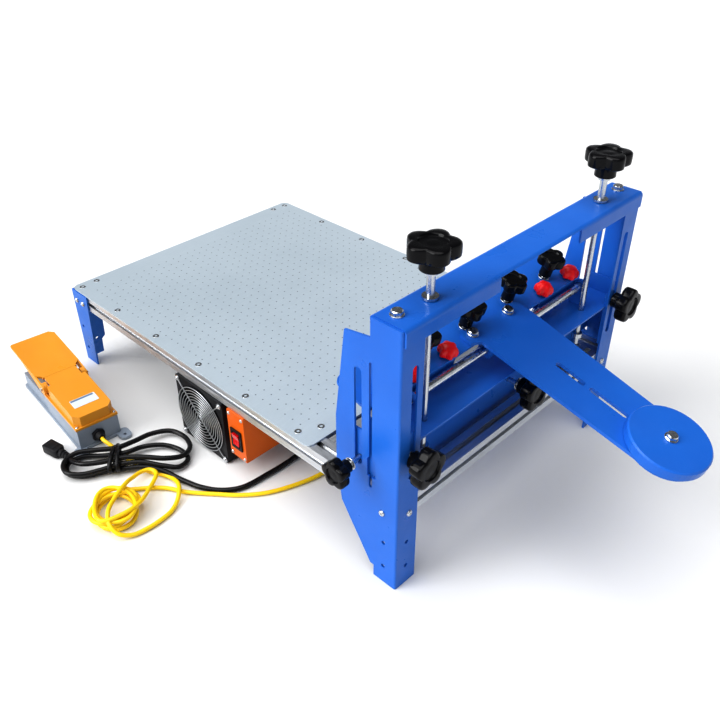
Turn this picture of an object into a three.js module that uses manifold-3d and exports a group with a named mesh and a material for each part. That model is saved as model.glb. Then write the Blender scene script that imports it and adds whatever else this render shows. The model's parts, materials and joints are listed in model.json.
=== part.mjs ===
// Tabletop vacuum screen-printing press with a counterweighted, micro-adjusted print head,
// its suction fan and control box, a foot pedal and their two cords.
// Millimetres, +Z up. +Y points to the operator's end of the bed, +X across the gantry.
import * as THREE from "three";
import { mergeVertices } from "three/addons/utils/BufferGeometryUtils.js";
import Module from "manifold-3d";

const wasm = await Module();
wasm.setup();

// ---- driving dimensions ----------------------------------------------------------------
const GAP = 0.3; // clearance between pieces that touch
const SHEET = 3; // folded sheet steel
const HALF_WIDTH = 250; // outer faces of the legs and posts
const BED_NEAR = 70; // bed plate's edge beside the gantry
const BED_FAR = 684; // bed plate's edge at the operator's end
const BED_TOP = 151;
const BED_THICK = 2;
const RAIL = 30; // square aluminium extrusion
const RAIL_TOP = BED_TOP - BED_THICK - GAP;
const RAIL_BASE = RAIL_TOP - RAIL;
const GANTRY_REAR = -90; // outer face of the posts' rear flanges
const GANTRY_TOP = 407;
const BEAM_DEPTH = 53;
const BEAM_FLANGE = 22;
const BEAM_BEND = 6; // outer radius of the beam's bends
const POST_FLANGE = 38;
const ROD_X = 178;
const ROD_Y = -66;
const ROD_R = 4;
const SHELF_TOP = 235; // carriage shelf
const CARRIAGE_DROP = 68;
const SHAFT = { y: -52, z: 265, r: 6 };
const HEAD_TILT = THREE.MathUtils.degToRad(15);
const PLATE_Z = 10; // underside of the head plate above the shaft's axis
const PLATE_THICK = 4;
const ARM_THICK = 5;
const DISC = { y: -246.5, r: 53, thick: 14.5 };
const FAN = { size: 118, y: 321, z: 59.3, depth: 38, bore: 56, pitch: 52.5 };
const BOX = { x0: -250, x1: -170, y0: 212, y1: 250, z0: 33, z1: 118.4 };
const PEDAL = { x: -361, y: 452, turn: THREE.MathUtils.degToRad(-5.5), width: 71 };
const MAINS_R = 4;
const PEDAL_CORD_R = 3.25;

// ---- finishes --------------------------------------------------------------------------
const finish = (color, roughness, metalness) =>
  new THREE.MeshStandardMaterial({ color, roughness, metalness });
const BLUE = finish(0x1f62d8, 0.35, 0.1);
const ALUMINIUM = finish(0xdfe5ea, 0.35, 0.9);
const BED_GREY = finish(0xb4c2cd, 0.4, 0.8);
const ZINC = finish(0xc9ced2, 0.25, 1);
const BLACK_KNOB = finish(0x08090b, 0.18, 0);
const BLACK_MATT = finish(0x121318, 0.5, 0);
const RED = finish(0xd0100c, 0.3, 0);
const ORANGE_BOX = finish(0xc95f12, 0.4, 0.1);
const ORANGE_PEDAL = finish(0xf29a2e, 0.35, 0.1);
const GREY_BASE = finish(0x7f8893, 0.5, 0.2);
const BLACK_CORD = finish(0x0c0c0e, 0.4, 0);
const YELLOW_CORD = finish(0xf6d21c, 0.45, 0);
const GALVANISED = finish(0xa7adb2, 0.45, 0.9);

// ---- geometry helpers ------------------------------------------------------------------
function solid(geometry) {
  const bare = geometry.index ? geometry.toNonIndexed() : geometry.clone();
  bare.deleteAttribute("normal");
  bare.deleteAttribute("uv");
  const merged = mergeVertices(bare, 1e-3);
  return new wasm.Manifold(
    new wasm.Mesh({
      numProp: 3,
      vertProperties: merged.attributes.position.array,
      triVerts: new Uint32Array(merged.index.array),
    }),
  );
}

function geometryOf(manifold) {
  const mesh = manifold.getMesh();
  const geometry = new THREE.BufferGeometry();
  geometry.setAttribute("position", new THREE.BufferAttribute(mesh.vertProperties, 3));
  geometry.setIndex(new THREE.BufferAttribute(mesh.triVerts, 1));
  geometry.computeVertexNormals();
  return geometry;
}

function join(...geometries) {
  return geometryOf(geometries.map(solid).reduce((whole, piece) => whole.add(piece)));
}

function cut(geometry, ...tools) {
  return geometryOf(tools.map(solid).reduce((left, tool) => left.subtract(tool), solid(geometry)));
}

// Box between two corners.
function block(x0, x1, y0, y1, z0, z1) {
  const box = new THREE.BoxGeometry(x1 - x0, y1 - y0, z1 - z0);
  return box.translate((x0 + x1) / 2, (y0 + y1) / 2, (z0 + z1) / 2);
}

// Cylinder standing on z = 0; turned onto X or Y by along().
function pin(radius, length, sides = 20) {
  return new THREE.CylinderGeometry(radius, radius, length, sides)
    .rotateX(Math.PI / 2)
    .translate(0, 0, length / 2);
}

// Turns a shape made along +Z so that it points along the named axis.
function along(geometry, axis) {
  const turns = {
    "+Z": (g) => g,
    "-Z": (g) => g.rotateX(Math.PI),
    "+X": (g) => g.rotateY(Math.PI / 2),
    "-X": (g) => g.rotateY(-Math.PI / 2),
    "+Y": (g) => g.rotateX(-Math.PI / 2),
    "-Y": (g) => g.rotateX(Math.PI / 2),
  };
  return turns[axis](geometry);
}

function shapeOf(points, holes = []) {
  const shape = new THREE.Shape(points.map(([x, y]) => new THREE.Vector2(x, y)));
  shape.holes = holes;
  return shape;
}

const extrude = (shape, depth, curveSegments = 8) =>
  new THREE.ExtrudeGeometry(shape, { depth, bevelEnabled: false, curveSegments });

// Sheet drawn in the YZ plane, standing from x to x + thick.
function sideSheet(shape, x, thick) {
  return extrude(shape, thick).rotateX(Math.PI / 2).rotateZ(Math.PI / 2).translate(x, 0, 0);
}

// Sheet drawn in the XZ plane, standing from y to y + thick.
function rearSheet(shape, y, thick) {
  return extrude(shape, thick).rotateX(Math.PI / 2).translate(0, y + thick, 0);
}

function circleHole(x, y, radius) {
  return new THREE.Path().absarc(x, y, radius, 0, 2 * Math.PI, true);
}

// Slot with round ends, drawn from (x, y0) to (x, y1).
function slotHole(x, y0, y1, radius) {
  const slot = new THREE.Path();
  slot.absarc(x, y1 - radius, radius, 0, Math.PI, false);
  slot.absarc(x, y0 + radius, radius, Math.PI, 2 * Math.PI, false);
  slot.closePath();
  return slot;
}

function roundedRect(x0, x1, y0, y1, radius) {
  const shape = new THREE.Shape();
  shape.absarc(x1 - radius, y1 - radius, radius, 0, Math.PI / 2, false);
  shape.absarc(x0 + radius, y1 - radius, radius, Math.PI / 2, Math.PI, false);
  shape.absarc(x0 + radius, y0 + radius, radius, Math.PI, 1.5 * Math.PI, false);
  shape.absarc(x1 - radius, y0 + radius, radius, 1.5 * Math.PI, 2 * Math.PI, false);
  shape.closePath();
  return shape;
}

// Five-lobed hand knob on +Z: stud below z = 0, hub from 0, lobed head above it.
function starKnob({ diameter, head, hub, studR, stud, hollow = 0 }) {
  const lobes = 5;
  const steps = 6 * lobes;
  const outline = Array.from({ length: steps }, (_, i) => {
    const angle = (2 * Math.PI * i) / steps;
    const radius = (diameter / 2) * (0.87 + 0.13 * Math.cos(lobes * angle));
    return [radius * Math.cos(angle), radius * Math.sin(angle)];
  });
  const pieces = [
    extrude(shapeOf(outline), head).translate(0, 0, hub),
    pin(diameter * 0.24, hub + 1),
  ];
  if (stud > 0) pieces.push(pin(studR, stud + 1, 12).translate(0, 0, -stud));
  const whole = join(...pieces);
  return hollow > 0 ? cut(whole, pin(hollow, hub + head * 0.6, 12).translate(0, 0, -1)) : whole;
}

// Square extrusion with a T-slot on each side, drawn once and run along Z.
function slottedRail(length) {
  const half = RAIL / 2;
  const quarter = [[half, 4], [half - 2, 4], [half - 2, 7.5], [half - 6, 7.5], [half - 9, 4.5]];
  const outline = [0, 1, 2, 3].flatMap((turn) => {
    const c = Math.round(Math.cos((turn * Math.PI) / 2));
    const s = Math.round(Math.sin((turn * Math.PI) / 2));
    const spin = ([x, y]) => [c * x - s * y, s * x + c * y];
    const lower = quarter.map(([x, y]) => [x, -y]);
    return [...lower, ...quarter.slice().reverse(), [half, half]].map(spin);
  });
  return extrude(shapeOf(outline), length);
}

function tube(points, radius, steps, sides = 8) {
  const curve = new THREE.CatmullRomCurve3(points.map((p) => new THREE.Vector3(...p)));
  const ring = Array.from({ length: sides }, (_, i) => {
    const angle = (2 * Math.PI * i) / sides;
    return [radius * Math.cos(angle), radius * Math.sin(angle)];
  });
  return new THREE.ExtrudeGeometry(shapeOf(ring), { steps, extrudePath: curve });
}

const press = new THREE.Group();
const head = new THREE.Group();
const pedal = new THREE.Group();
press.add(head, pedal);
head.position.set(0, SHAFT.y, SHAFT.z);
head.rotation.x = HEAD_TILT;
pedal.position.set(PEDAL.x, PEDAL.y, 0);
pedal.rotation.z = PEDAL.turn;

function add(name, geometry, material, parent = press) {
  const mesh = new THREE.Mesh(geometry, material);
  mesh.name = name;
  parent.add(mesh);
  return mesh;
}

// Adds a piece and its mirror image across the press: build(side) gets -1 for left, +1 for right.
function addPair(name, build, material, parent = press) {
  for (const side of [-1, 1]) add(`${side < 0 ? "left" : "right"}_${name}`, build(side), material, parent);
}

// Mirrors a left-hand piece to the right, with its faces kept outwards.
function sided(geometry, side) {
  if (side < 0) return geometry;
  return geometryOf(solid(geometry).mirror([1, 0, 0]));
}

// ---- base frame ------------------------------------------------------------------------
const SIDE_RAIL_X = HALF_WIDTH - SHEET - GAP; // outer face of the side rails
const RAIL_Y0 = GANTRY_REAR + SHEET + GAP;

function sideRail(side) {
  const x = side * (SIDE_RAIL_X - RAIL / 2);
  return along(slottedRail(BED_FAR - RAIL_Y0), "+Y").translate(x, RAIL_Y0, RAIL_TOP - RAIL / 2);
}

function crossRail(y) {
  const length = 2 * (SIDE_RAIL_X - RAIL - GAP);
  return along(slottedRail(length), "+X").translate(-length / 2, y, RAIL_TOP - RAIL / 2);
}

// L-section foot: tapered side plate and a shorter inner flange, both drilled.
function frontLeg() {
  const top = RAIL_TOP - 1;
  const y1 = BED_FAR + 0.5;
  const sidePlate = shapeOf([[y1, 0], [y1, top], [y1 - 48, top], [y1 - 34, 0]], [
    circleHole(y1 - 11, 129, 2.5),
    circleHole(y1 - 31, 129, 2.5),
    circleHole(y1 - 12, 75, 3),
    circleHole(y1 - 14, 30, 3),
  ]);
  const lean = Math.atan2(14, top);
  const flange = shapeOf([[0, 24], [17, 24], [17, 52], [24, 58], [24, 116], [0, 116]], [
    circleHole(8, 58, 3),
  ]);
  return join(
    sideSheet(sidePlate, -HALF_WIDTH, SHEET),
    rearSheet(flange, 0, SHEET).rotateX(lean).translate(-HALF_WIDTH, y1 - 34, 0),
  );
}

// L-section gantry upright that widens into a gusset at bed height and narrows to a foot.
function gantryPost() {
  const rear = GANTRY_REAR;
  const top = GANTRY_TOP - 1.5;
  const flangeTop = GANTRY_TOP - 8;
  const outline = [
    [rear, 0], [rear + 39, 0], [rear + 39, 19], [rear + 45, 19], [rear + 97, 101],
    [rear + 105, 160], [rear + 104, 240], [rear + 87, 372], [rear + 46.5, 379],
    [rear + 46.5, top], [rear, top],
  ];
  const window = shapeOf([[37, 174], [51, 174], [51, 202], [44, 209], [37, 202]]
    .map(([y, z]) => [rear + y, z]));
  const sidePlate = shapeOf(outline, [
    slotHole(rear + 66, 184, 330, 6),
    slotHole(rear + 45.5, 156, 346, 2.5),
    circleHole(rear + 25, 126, 2.6),
    circleHole(rear + 22, 74, 3.2),
    circleHole(rear + 22, 30, 3.2),
  ]);
  const flange = shapeOf([
    [-HALF_WIDTH, 0], [-HALF_WIDTH + POST_FLANGE, 0], [-HALF_WIDTH + POST_FLANGE, flangeTop],
    [-HALF_WIDTH, flangeTop],
  ], [
    slotHole(-226, 184, 352, 5),
    circleHole(-228, 128, 2.6),
    circleHole(-230, 77, 3.2),
    circleHole(-230, 33, 3.2),
  ]);
  const post = join(sideSheet(sidePlate, -HALF_WIDTH, SHEET), rearSheet(flange, rear, SHEET));
  const bend = pin(SHEET, GANTRY_TOP + 2, 24).translate(-HALF_WIDTH + SHEET, rear + SHEET, -1);
  const corner = cut(block(-HALF_WIDTH - 1, -HALF_WIDTH + SHEET, rear - 1, rear + SHEET, -1, GANTRY_TOP), bend);
  return cut(post, sideSheet(window, -HALF_WIDTH - 1, SHEET + 2), corner);
}

// Inverted channel over both posts, its rear flange cut away between the lifting screws.
function topBeam() {
  const rear = GANTRY_REAR - SHEET;
  const front = rear + BEAM_DEPTH;
  const top = GANTRY_TOP;
  const low = top - BEAM_FLANGE;
  const inner = BEAM_BEND - SHEET;
  const section = new THREE.Shape();
  section.moveTo(front, low);
  section.absarc(front - BEAM_BEND, top - BEAM_BEND, BEAM_BEND, 0, Math.PI / 2, false);
  section.absarc(rear + BEAM_BEND, top - BEAM_BEND, BEAM_BEND, Math.PI / 2, Math.PI, false);
  section.lineTo(rear, low);
  section.lineTo(rear + SHEET - GAP, low);
  section.absarc(rear + BEAM_BEND, top - BEAM_BEND, inner, Math.PI, Math.PI / 2, true);
  section.absarc(front - BEAM_BEND, top - BEAM_BEND, inner, Math.PI / 2, 0, true);
  section.lineTo(front - SHEET, low);
  section.closePath();
  const end = HALF_WIDTH - SHEET - GAP;
  const channel = sideSheet(section, -end, 2 * end);
  const holes = [-1, 1].map((side) => pin(ROD_R + 2, 10).translate(side * ROD_X, ROD_Y, top - 6));
  return cut(channel, block(-82, 90, rear - 1, rear + SHEET + 1, low - 1, top - SHEET), ...holes);
}

addPair("side_rail", sideRail, ALUMINIUM);
add("front_cross_rail", crossRail(BED_FAR - RAIL / 2 - 1), ALUMINIUM);
add("bed_cross_rail", crossRail(BED_NEAR), ALUMINIUM);
add("rear_cross_rail", crossRail(RAIL_Y0 + RAIL / 2), ALUMINIUM);
addPair("front_leg", (side) => sided(frontLeg(), side), BLUE);
addPair("gantry_post", (side) => sided(gantryPost(), side), BLUE);
add("top_beam", topBeam(), BLUE);

// ---- vacuum bed ------------------------------------------------------------------------
const PLENUM = { x: 205, y0: 100, y1: 640, z0: 119 };

function plenumTray() {
  const { x, y0, y1, z0 } = PLENUM;
  const top = RAIL_TOP;
  const outer = block(-x, x, y0, y1, z0, top);
  const inner = block(-x + 2, x - 2, y0 + 2, y1 - 2, z0 + 2, top + 1);
  const inlet = block(-x + 20, -x + 80, FAN.y - 48, FAN.y + 48, z0 - 1, z0 + 3);
  return cut(outer, inner, inlet);
}

function fanDuct() {
  const x0 = -HALF_WIDTH + FAN.depth + 2 * GAP;
  const x1 = -PLENUM.x + 84;
  const y0 = FAN.y - FAN.size / 2 + 2;
  const y1 = FAN.y + FAN.size / 2 - 2;
  const top = PLENUM.z0 - GAP;
  const shell = block(x0, x1, y0, y1, 3, top);
  const hollow = block(x0 - 1, x1 - 2, y0 + 2, y1 - 2, 5, top - 2);
  const outlet = block(-PLENUM.x + 20, -PLENUM.x + 80, FAN.y - 48, FAN.y + 48, top - 3, top + 1);
  return cut(shell, hollow, outlet);
}

add("bed_plate",
  extrude(roundedRect(-HALF_WIDTH + 1, HALF_WIDTH - 1, BED_NEAR, BED_FAR, 12), BED_THICK)
    .translate(0, 0, BED_TOP - BED_THICK), BED_GREY);
add("vacuum_plenum", plenumTray(), GALVANISED);
add("fan_duct", fanDuct(), GALVANISED);

// ---- suction fan on the left side ------------------------------------------------------
function fanHousing() {
  const half = FAN.size / 2;
  const square = roundedRect(-half, half, -half, half, 5);
  square.holes = [circleHole(0, 0, FAN.bore)];
  const frame = extrude(square, FAN.depth, 12);
  const hub = pin(20, 8, 16).translate(0, 0, 1);
  const struts = [0, 1, 2].map((i) =>
    block(-2, 2, 0, FAN.bore + 1, 1, 5).rotateZ((2 * Math.PI * i) / 3));
  return along(join(frame, hub, ...struts), "-X");
}

function fanRotor() {
  const hub = pin(21, 24, 16);
  const blades = Array.from({ length: 7 }, (_, i) =>
    block(-1.1, 1.1, 19, FAN.bore - 2.5, 2, 22)
      .rotateY(0.55)
      .rotateZ((2 * Math.PI * i) / 7));
  return along(join(hub, ...blades), "-X");
}

// Wire guard: rings crossed by two straight wires that end in eyes at the corner screws.
function fanGuard() {
  const wire = 1.1;
  const ring = (radius) => {
    const square = [[radius - wire, -wire], [radius + wire, -wire], [radius + wire, wire],
      [radius - wire, wire], [radius - wire, -wire]];
    return new THREE.LatheGeometry(square.map(([x, y]) => new THREE.Vector2(x, y)), 28)
      .rotateX(Math.PI / 2);
  };
  const rings = [14, 26, 38, 50, 57].map(ring);
  const reach = FAN.pitch * Math.SQRT2;
  const spokes = [1, -1].map((hand) =>
    block(-reach, reach, -wire, wire, -2.6, -0.4).rotateZ((hand * Math.PI) / 4));
  const eyes = [45, 135, 225, 315].map((degrees) => {
    const angle = THREE.MathUtils.degToRad(degrees);
    return pin(4.5, 2.2, 12).translate(reach * Math.cos(angle), reach * Math.sin(angle), -2.6);
  });
  return along(join(...rings, ...spokes, ...eyes), "-X");
}

const fanBack = -HALF_WIDTH + FAN.depth;
add("fan_housing", fanHousing().translate(fanBack, FAN.y, FAN.z), BLACK_MATT);
add("fan_rotor", fanRotor().translate(fanBack - 10, FAN.y, FAN.z), BLACK_MATT);
add("fan_guard", fanGuard().translate(-HALF_WIDTH - 3.2, FAN.y, FAN.z), ZINC);

// ---- control box -----------------------------------------------------------------------
const SWITCH = { y: (BOX.y0 + BOX.y1) / 2, z: 70, width: 19, height: 30 };

function controlBox() {
  const { x0, x1, y0, y1, z0, z1 } = BOX;
  const shell = block(x0, x1, y0, y1, z0, z1);
  const inside = block(x0 + 2, x1 - 2, y0 + 2, y1 - 2, z0 + 2, z1 - 2);
  const window = block(x0 - 1, x0 + 3, SWITCH.y - SWITCH.width / 2, SWITCH.y + SWITCH.width / 2,
    SWITCH.z - SWITCH.height / 2, SWITCH.z + SWITCH.height / 2);
  return cut(shell, inside, window);
}

function switchBezel() {
  const { y, z } = SWITCH;
  const outer = block(BOX.x0 - 2.5, BOX.x0 - GAP, y - 12, y + 12, z - 18, z + 18);
  const window = block(BOX.x0 - 4, BOX.x0 + 1, y - 8, y + 8, z - 13.5, z + 13.5);
  return cut(outer, window);
}

// Rocker with a shallow V face, on an axle along Y.
function rocker() {
  const profile = shapeOf([[0, -10.5], [0, 10.5], [-6, 10.5], [-3.5, 0], [-4.5, -10.5]]);
  return rearSheet(profile, -7, 14).translate(BOX.x0 + 1, SWITCH.y, SWITCH.z);
}

add("control_box", controlBox(), ORANGE_BOX);
add("switch_bezel", switchBezel(), BLACK_MATT);
add("rocker_switch", rocker(), RED);

// ---- lifting carriage ------------------------------------------------------------------
const CARRIAGE_X = HALF_WIDTH - SHEET - 1;
const SHELF_FRONT = -24;
const CARRIAGE_REAR = GANTRY_REAR + SHEET + GAP;
const APRON_REAR = -48; // apron's rear face, ahead of the lifting screws
const APRON_FOOT = 128;
const CHEEK_TOP = 262;
const TAB_TOP = 254;
const REAR_KNOBS = [["left", -226, 217], ["centre", 0, 203], ["right", 226, 242]]; // name, x, z
const SIDE_KNOB = { y: GANTRY_REAR + 66, z: 192 };

// Shelf under the shaft with two welded nuts, an apron ahead of them that passes down between the
// side rails, an end cheek each side that rises behind the shaft, and a tab for each outer rear knob.
function carriagePlate() {
  const low = SHELF_TOP - CARRIAGE_DROP;
  const shelf = block(-CARRIAGE_X, CARRIAGE_X, CARRIAGE_REAR, SHELF_FRONT, SHELF_TOP - SHEET, SHELF_TOP);
  const nuts = [-1, 1].map((side) =>
    new THREE.CylinderGeometry(11, 11, 10, 6)
      .rotateX(Math.PI / 2)
      .translate(side * ROD_X, ROD_Y, SHELF_TOP - SHEET - 4));
  const apron = join(
    block(-CARRIAGE_X, CARRIAGE_X, APRON_REAR, APRON_REAR + SHEET, low, SHELF_TOP),
    block(-214, 214, APRON_REAR, APRON_REAR + SHEET, APRON_FOOT, low + 1));
  const tabs = [-1, 1].map((side) => {
    const x = side * (CARRIAGE_X - 17);
    return block(x - 17, x + 17, CARRIAGE_REAR, CARRIAGE_REAR + SHEET, low, TAB_TOP);
  });
  const cheeks = [-1, 1].map((side) => {
    const x = side * (CARRIAGE_X - SHEET / 2);
    return join(
      block(x - SHEET / 2, x + SHEET / 2, CARRIAGE_REAR, -12, low, SHELF_TOP),
      block(x - SHEET / 2, x + SHEET / 2, CARRIAGE_REAR, -38, SHELF_TOP - 1, CHEEK_TOP));
  });
  const rodHoles = [-1, 1].map((side) =>
    pin(ROD_R + 0.3, 30).translate(side * ROD_X, ROD_Y, SHELF_TOP - 20));
  const rearHoles = REAR_KNOBS.map(([, x, z]) =>
    along(pin(4.3, 10), "-Y").translate(x, (x === 0 ? APRON_REAR : CARRIAGE_REAR) + 6, z));
  const sideHoles = [-1, 1].map((side) =>
    along(pin(4.3, 10), "+X").translate(side * (CARRIAGE_X - 2) - 5, SIDE_KNOB.y, SIDE_KNOB.z));
  return cut(join(shelf, apron, ...nuts, ...cheeks, ...tabs), ...rodHoles, ...rearHoles, ...sideHoles);
}

// Upright lug on the shelf, rounded about the shaft so that the head swings past it.
function shaftBracket(side) {
  const lug = new THREE.Shape();
  lug.moveTo(SHAFT.y - 14, SHELF_TOP + GAP);
  lug.lineTo(SHAFT.y + 14, SHELF_TOP + GAP);
  lug.lineTo(SHAFT.y + 11, SHAFT.z);
  lug.absarc(SHAFT.y, SHAFT.z, 11, 0, Math.PI, false);
  lug.closePath();
  lug.holes = [circleHole(SHAFT.y, SHAFT.z, SHAFT.r + 0.3)];
  return sideSheet(lug, side * 188.5 - 2, 4);
}

function pivotShaft() {
  const bar = pin(SHAFT.r, 392, 16).translate(0, 0, -196);
  return along(bar, "+X").translate(0, SHAFT.y, SHAFT.z);
}

const KNOB_SEAT = 443.4; // height of the lifting knobs' bases

// Lifting screw: plain shank through the beam, thread below it and a stop nut at the foot.
function liftScrew() {
  const foot = 176;
  const profile = [
    [0, foot], [ROD_R, foot], [ROD_R, foot + 12], [8, foot + 12], [8, foot + 19], [ROD_R, foot + 19],
    [ROD_R, GANTRY_TOP - 13], [9.5, GANTRY_TOP - 13], [9.5, GANTRY_TOP - 4],
    [5, GANTRY_TOP - 4], [5, GANTRY_TOP + 1], [10, GANTRY_TOP + 1], [10, GANTRY_TOP + 4],
    [5, GANTRY_TOP + 4], [5, KNOB_SEAT - 5], [8, KNOB_SEAT - 5], [8, KNOB_SEAT], [0, KNOB_SEAT],
  ];
  return new THREE.LatheGeometry(profile.map(([r, z]) => new THREE.Vector2(r, z)), 16).rotateX(Math.PI / 2);
}

add("carriage", carriagePlate(), BLUE);
addPair("shaft_bracket", shaftBracket, BLUE);
add("pivot_shaft", pivotShaft(), ZINC);
addPair("lift_screw", (side) => liftScrew().translate(side * ROD_X, ROD_Y, 0), ZINC);
addPair("lift_knob", (side) =>
  starKnob({ diameter: 63, head: 18.5, hub: 16, studR: 0, stud: 0 })
    .translate(side * ROD_X, ROD_Y, KNOB_SEAT + GAP), BLACK_KNOB);

const SMALL_KNOB = { diameter: 41, head: 15, hub: 12, studR: 4 };
const LARGE_KNOB = { diameter: 53, head: 18, hub: 13, studR: 4 };
for (const [name, x, z] of REAR_KNOBS) {
  const out = x === 0 ? CARRIAGE_REAR - 1 : GANTRY_REAR - 1;
  const knob = starKnob({ ...LARGE_KNOB, stud: (x === 0 ? APRON_REAR : CARRIAGE_REAR) + 9 - out });
  add(`${name}_rear_knob`, along(knob, "-Y").translate(x, out, z), BLACK_KNOB);
}
addPair("side_knob", (side) =>
  along(starKnob({ ...SMALL_KNOB, stud: 26 }), side < 0 ? "-X" : "+X")
    .translate(side * (HALF_WIDTH + 18), SIDE_KNOB.y, SIDE_KNOB.z), BLACK_KNOB);

// ---- tilting print head: shaft axis at the group's origin, +Y towards the screen --------
const PLATE_TOP = PLATE_Z + PLATE_THICK;
const LEVEL_SCREWS = [-172, -106, 106, 172];
const CLAMP_KNOBS = [-137, -46, 46, 137];
const LEVEL_Y = 17;
const CLAMP_Y = 37;
const JAW_Z = -42.5; // top of the lower jaw

// Head plate with a folded hinge block at each side and the channels for the level screws.
function headPlate() {
  const outline = roundedRect(-190, 190, 7.5, 96, 10);
  outline.holes = [
    ...LEVEL_SCREWS.map((x) => circleHole(x, LEVEL_Y, 3.3)),
    ...CLAMP_KNOBS.map((x) => circleHole(x, CLAMP_Y, 4.3)),
  ];
  const plate = extrude(outline, PLATE_THICK).translate(0, 0, PLATE_Z);
  const channels = [-139, 139].flatMap((x) => [
    block(x - 44, x + 44, 8.5, 10.5, -9, PLATE_Z + 1),
    cut(block(x - 44, x + 44, 8.5, 26, -9, -7), ...LEVEL_SCREWS.map((s) =>
      pin(3.3, 6, 12).translate(s, LEVEL_Y, -11))),
  ]);
  return join(plate, ...channels);
}

// Split bearing block that hangs the head plate on the shaft.
function bearingBlock(side) {
  const lug = shapeOf([[-10, -10], [10, -10], [10, 0], [22, PLATE_Z - 1], [22, PLATE_Z - GAP],
    [-10, PLATE_Z - GAP]], [circleHole(0, 0, SHAFT.r + 0.3)]);
  return sideSheet(lug, side * 34 - 8, 16);
}

function counterweightArm() {
  const outline = new THREE.Shape();
  outline.moveTo(53, 27);
  outline.lineTo(-68, 27);
  outline.lineTo(-68, 8);
  outline.lineTo(-53, 2);
  outline.lineTo(-53, -20);
  outline.lineTo(-47, DISC.y + 15);
  outline.absarc(0, DISC.y, 49, Math.PI - 0.3, 2 * Math.PI + 0.3, false);
  outline.lineTo(53, -20);
  outline.closePath();
  outline.holes = [
    slotHole(0, -127, -81, 4.5),
    slotHole(0, -192, -134, 4.5),
  ];
  return extrude(outline, ARM_THICK, 10).translate(0, 0, PLATE_TOP + GAP);
}

function counterweightDisc() {
  const { r, thick } = DISC;
  const profile = [[0, 0], [r - 1, 0], [r, 1], [r, thick - 2], [r - 2, thick], [0, thick]];
  return new THREE.LatheGeometry(profile.map(([x, y]) => new THREE.Vector2(x, y)), 48)
    .rotateX(Math.PI / 2)
    .translate(0, DISC.y, PLATE_TOP + ARM_THICK + 2 * GAP);
}

// Lower jaw for the printing screen's frame, hung from the head plate by a bracket at each end.
function screenHolder() {
  const ledge = extrude(roundedRect(-212, 212, 38, 103, 14), PLATE_THICK).translate(0, 0, JAW_Z - PLATE_THICK);
  const hangers = [-1, 1].map((side) => {
    const x = side * 187;
    return block(x - 1.5, x + 1.5, 40, 74, JAW_Z - 1, PLATE_Z - GAP);
  });
  return join(ledge, ...hangers);
}

// Upper jaw: threaded on the four clamp knobs' studs, it comes down on the screen's frame.
function clampBar() {
  const top = PLATE_Z - 1;
  const holes = CLAMP_KNOBS.map((x) => pin(4.3, 30, 12).translate(x, CLAMP_Y, top - 15));
  return cut(block(-182, 182, CLAMP_Y - 8, CLAMP_Y + 8, top - 8, top), ...holes);
}

// Red-capped levelling screw on +Z: lobed cap above the plate, thread through the channel.
function levelScrew() {
  const profile = [[0, 0], [13.4, 0], [14, 5], [13, 10], [8, 14.5], [0, 16]];
  const cap = new THREE.LatheGeometry(profile.map(([x, y]) => new THREE.Vector2(x, y)), 10)
    .rotateX(Math.PI / 2)
    .translate(0, 0, 1);
  return join(cap, pin(3, 46, 12).translate(0, 0, -44));
}

add("head_plate", headPlate(), BLUE, head);
addPair("bearing_block", bearingBlock, BLUE, head);
add("counterweight_arm", counterweightArm(), BLUE, head);
add("counterweight_disc", counterweightDisc(), BLUE, head);
add("screen_holder", screenHolder(), BLUE, head);
add("clamp_bar", clampBar(), ALUMINIUM, head);
LEVEL_SCREWS.forEach((x, i) =>
  add(`level_screw_${i + 1}`, levelScrew().translate(x, LEVEL_Y, PLATE_TOP + GAP), RED, head));
CLAMP_KNOBS.forEach((x, i) =>
  add(`clamp_knob_${i + 1}`, starKnob({ ...SMALL_KNOB, hub: 20, stud: 29 })
    .translate(x, CLAMP_Y, PLATE_TOP + ARM_THICK + 2 * GAP), BLACK_KNOB, head));

// ---- foot pedal: origin at the middle of its rear face on the floor, +Y to its toe ------
const HALF_PEDAL = PEDAL.width / 2;
const BODY_LENGTH = 128;
const COVER_BASE = 40;
const REAR_TOP = 62; // cover's height at its rear edge
const SLOPE = 0.075; // rise of the cover and treadle towards the toe
const PIVOT = { y: 116, z: 60, r: 3 };
const GLAND = { x: -3, z: 20, length: 14.5 };

// Grey casting: tall body, low tail under the treadle, and a drilled ear at each rear corner.
function pedalBase() {
  const body = block(-HALF_PEDAL + 1, HALF_PEDAL - 1, 0, BODY_LENGTH, 3, COVER_BASE - GAP);
  const tail = block(-HALF_PEDAL + 3, HALF_PEDAL - 3, BODY_LENGTH - 1, 226, 3, 30);
  const sole = extrude(roundedRect(-HALF_PEDAL - 1, HALF_PEDAL + 1, -2, 229, 4), 5);
  const ears = [-1, 1].map((side) => {
    const x = side * (HALF_PEDAL + 1);
    const ear = roundedRect(x - 10, x + 10, -20, 6, 8);
    ear.holes = [circleHole(x, -11, 2.8)];
    return extrude(ear, 5);
  });
  return join(sole, body, tail, ...ears);
}

function topAt(y) {
  return REAR_TOP + SLOPE * y;
}

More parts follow.
